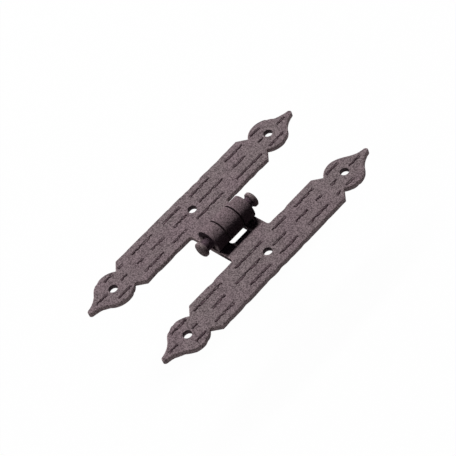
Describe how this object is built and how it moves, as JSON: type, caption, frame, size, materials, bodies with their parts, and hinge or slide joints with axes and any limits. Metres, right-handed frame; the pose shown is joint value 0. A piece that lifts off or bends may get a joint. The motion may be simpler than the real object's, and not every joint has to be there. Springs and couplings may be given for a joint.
{
  "type": "h hinge",
  "caption": "Flat H-shaped surface hinge: strap leaves with leaf-shaped finials and stamped dashes turn on a button-headed pin in a rolled barrel, to hang a cabinet door.",
  "frame": {"origin": "on the back plane, midway between the straps and midway along them, under the pin", "axes": "+X from the door leaf to the frame leaf, +Y along the straps and the pin, +Z out of the front"},
  "size_m": [0.0746, 0.15, 0.0137],
  "materials": {
    "leaf_coat": "matte brown coat with a fine speckled texture",
    "pin_coat": "matte brown coat, a little thinner and greyer on the heads"
  },
  "bodies": {
    "frame": {"frame_leaf": "leaf_coat", "hinge_pin": "pin_coat"},
    "door": {"door_leaf": "leaf_coat"}
  },
  "joints": [
    {"name": "door_swing", "type": "hinge", "parent": "frame", "child": "door", "pos_m": [0, 0, 0.00685], "axis": [0, 1, 0], "range_deg": [-90, 180]}
  ]
}
